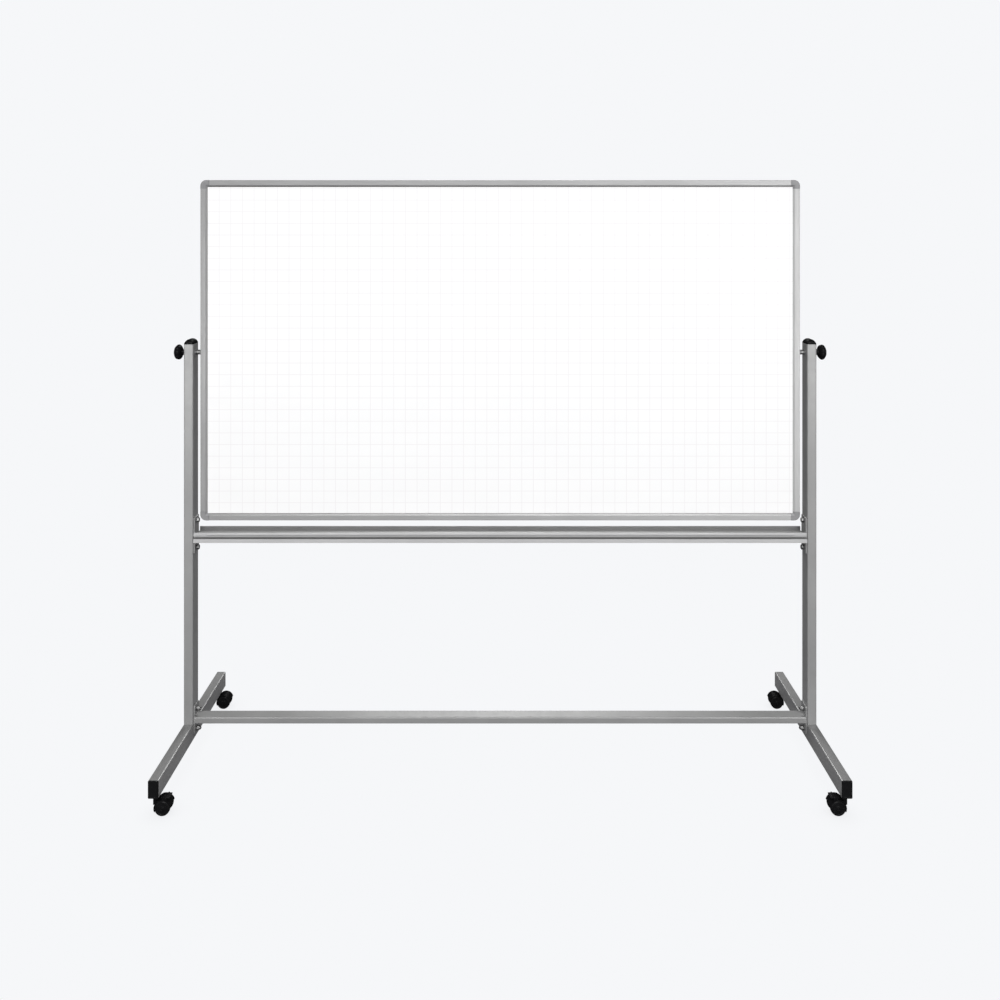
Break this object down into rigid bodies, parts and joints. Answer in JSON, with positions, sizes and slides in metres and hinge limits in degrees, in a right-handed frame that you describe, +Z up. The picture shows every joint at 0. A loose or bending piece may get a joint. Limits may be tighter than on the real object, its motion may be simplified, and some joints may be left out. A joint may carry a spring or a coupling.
{
  "type": "rolling whiteboard",
  "caption": "Rolling reversible whiteboard: a framed grid-marked board flips on clamped side pivots above a marker tray, on steel feet with swivel casters and brakes.",
  "frame": {"origin": "on the floor, under the middle of the board", "axes": "+X along the board to the right as seen from the front, +Y from the front to the rear, +Z up"},
  "size_m": [1.9928, 0.6, 1.7574],
  "materials": {
    "painted_steel": "satin silver-grey powder coat",
    "aluminium_frame": "satin anodised",
    "aluminium_tray": "satin anodised",
    "writing_surface": "gloss white lacquer, the front with a faint grey grid",
    "core_board": "raw fibreboard",
    "grey_plastic": "fine matt grain",
    "black_plastic": "fine matt grain",
    "knob_plastic": "satin moulded",
    "wheel_plastic": "satin moulded",
    "zinc_steel": "bright zinc plate"
  },
  "bodies": {
    "stand": {"post_left": "painted_steel", "post_cap_left": "black_plastic", "pivot_bush_left": "grey_plastic", "foot_left": "painted_steel", "tray_bracket_left": "painted_steel", "crossbar_bolt_upper_left": "zinc_steel", "crossbar_bolt_lower_left": "zinc_steel", "tray_bolt_upper_left": "zinc_steel", "tray_bolt_lower_left": "zinc_steel", "post_right": "painted_steel", "post_cap_right": "black_plastic", "pivot_bush_right": "grey_plastic", "foot_right": "painted_steel", "tray_bracket_right": "painted_steel", "crossbar_bolt_upper_right": "zinc_steel", "crossbar_bolt_lower_right": "zinc_steel", "tray_bolt_upper_right": "zinc_steel", "tray_bolt_lower_right": "zinc_steel", "foot_cap_front_left": "black_plastic", "foot_cap_front_right": "black_plastic", "foot_cap_rear_left": "black_plastic", "foot_cap_rear_right": "black_plastic", "caster_stem_front_left": "zinc_steel", "caster_stem_front_right": "zinc_steel", "caster_stem_rear_left": "zinc_steel", "caster_stem_rear_right": "zinc_steel", "crossbar": "painted_steel", "marker_tray": "aluminium_tray"},
    "board": {"frame_rail_top": "aluminium_frame", "frame_rail_bottom": "aluminium_frame", "frame_rail_left": "aluminium_frame", "frame_rail_right": "aluminium_frame", "corner_cap_top_left": "grey_plastic", "corner_cap_top_right": "grey_plastic", "corner_cap_bottom_left": "grey_plastic", "corner_cap_bottom_right": "grey_plastic", "writing_sheet_front": "writing_surface", "writing_sheet_rear": "writing_surface", "board_core": "core_board", "pivot_nut_left": "zinc_steel", "pivot_nut_right": "zinc_steel", "pivot_sleeve_left": "zinc_steel", "pivot_sleeve_right": "zinc_steel"},
    "knob_left": {"clamp_knob_left": "knob_plastic"},
    "knob_right": {"clamp_knob_right": "knob_plastic"},
    "caster_front_left": {"caster_housing_front_left": "black_plastic"},
    "wheel_front_left_front": {"caster_wheel_front_left_front": "wheel_plastic"},
    "wheel_front_left_rear": {"caster_wheel_front_left_rear": "wheel_plastic"},
    "pedal_front_left": {"brake_pedal_front_left": "black_plastic"},
    "caster_front_right": {"caster_housing_front_right": "black_plastic"},
    "wheel_front_right_front": {"caster_wheel_front_right_front": "wheel_plastic"},
    "wheel_front_right_rear": {"caster_wheel_front_right_rear": "wheel_plastic"},
    "pedal_front_right": {"brake_pedal_front_right": "black_plastic"},
    "caster_rear_left": {"caster_housing_rear_left": "black_plastic"},
    "wheel_rear_left_front": {"caster_wheel_rear_left_front": "wheel_plastic"},
    "wheel_rear_left_rear": {"caster_wheel_rear_left_rear": "wheel_plastic"},
    "caster_rear_right": {"caster_housing_rear_right": "black_plastic"},
    "wheel_rear_right_front": {"caster_wheel_rear_right_front": "wheel_plastic"},
    "wheel_rear_right_rear": {"caster_wheel_rear_right_rear": "wheel_plastic"}
  },
  "joints": [
    {"name": "board_flip", "type": "hinge", "parent": "stand", "child": "board", "pos_m": [0, 0, 1.231], "axis": [1, 0, 0], "continuous": true},
    {"name": "knob_left_turn", "type": "hinge", "parent": "board", "child": "knob_left", "pos_m": [-0.984, 0, 1.231], "axis": [-1, 0, 0], "range_deg": [0, 720]},
    {"name": "knob_right_turn", "type": "hinge", "parent": "board", "child": "knob_right", "pos_m": [0.984, 0, 1.231], "axis": [1, 0, 0], "range_deg": [0, 720]},
    {"name": "caster_front_left_swivel", "type": "hinge", "parent": "stand", "child": "caster_front_left", "pos_m": [-0.947, -0.272, 0.054], "axis": [0, 0, 1], "continuous": true},
    {"name": "wheel_front_left_front_roll", "type": "hinge", "parent": "caster_front_left", "child": "wheel_front_left_front", "pos_m": [-0.9265, -0.272, 0.021], "axis": [0, 1, 0], "continuous": true},
    {"name": "wheel_front_left_rear_roll", "type": "hinge", "parent": "caster_front_left", "child": "wheel_front_left_rear", "pos_m": [-0.9265, -0.272, 0.021], "axis": [0, 1, 0], "continuous": true},
    {"name": "brake_front_left_press", "type": "hinge", "parent": "caster_front_left", "child": "pedal_front_left", "pos_m": [-0.91804, -0.272, 0.04558], "axis": [0, 1, 0], "range_deg": [0, 18]},
    {"name": "caster_front_right_swivel", "type": "hinge", "parent": "stand", "child": "caster_front_right", "pos_m": [0.947, -0.272, 0.054], "axis": [0, 0, 1], "continuous": true},
    {"name": "wheel_front_right_front_roll", "type": "hinge", "parent": "caster_front_right", "child": "wheel_front_right_front", "pos_m": [0.9265, -0.272, 0.021], "axis": [0, 1, 0], "continuous": true},
    {"name": "wheel_front_right_rear_roll", "type": "hinge", "parent": "caster_front_right", "child": "wheel_front_right_rear", "pos_m": [0.9265, -0.272, 0.021], "axis": [0, 1, 0], "continuous": true},
    {"name": "brake_front_right_press", "type": "hinge", "parent": "caster_front_right", "child": "pedal_front_right", "pos_m": [0.91804, -0.272, 0.04558], "axis": [0, -1, 0], "range_deg": [0, 18]},
    {"name": "caster_rear_left_swivel", "type": "hinge", "parent": "stand", "child": "caster_rear_left", "pos_m": [-0.947, 0.272, 0.054], "axis": [0, 0, 1], "continuous": true},
    {"name": "wheel_rear_left_front_roll", "type": "hinge", "parent": "caster_rear_left", "child": "wheel_rear_left_front", "pos_m": [-0.9265, 0.272, 0.021], "axis": [0, 1, 0], "continuous": true},
    {"name": "wheel_rear_left_rear_roll", "type": "hinge", "parent": "caster_rear_left", "child": "wheel_rear_left_rear", "pos_m": [-0.9265, 0.272, 0.021], "axis": [0, 1, 0], "continuous": true},
    {"name": "caster_rear_right_swivel", "type": "hinge", "parent": "stand", "child": "caster_rear_right", "pos_m": [0.947, 0.272, 0.054], "axis": [0, 0, 1], "continuous": true},
    {"name": "wheel_rear_right_front_roll", "type": "hinge", "parent": "caster_rear_right", "child": "wheel_rear_right_front", "pos_m": [0.9265, 0.272, 0.021], "axis": [0, 1, 0], "continuous": true},
    {"name": "wheel_rear_right_rear_roll", "type": "hinge", "parent": "caster_rear_right", "child": "wheel_rear_right_rear", "pos_m": [0.9265, 0.272, 0.021], "axis": [0, 1, 0], "continuous": true}
  ]
}
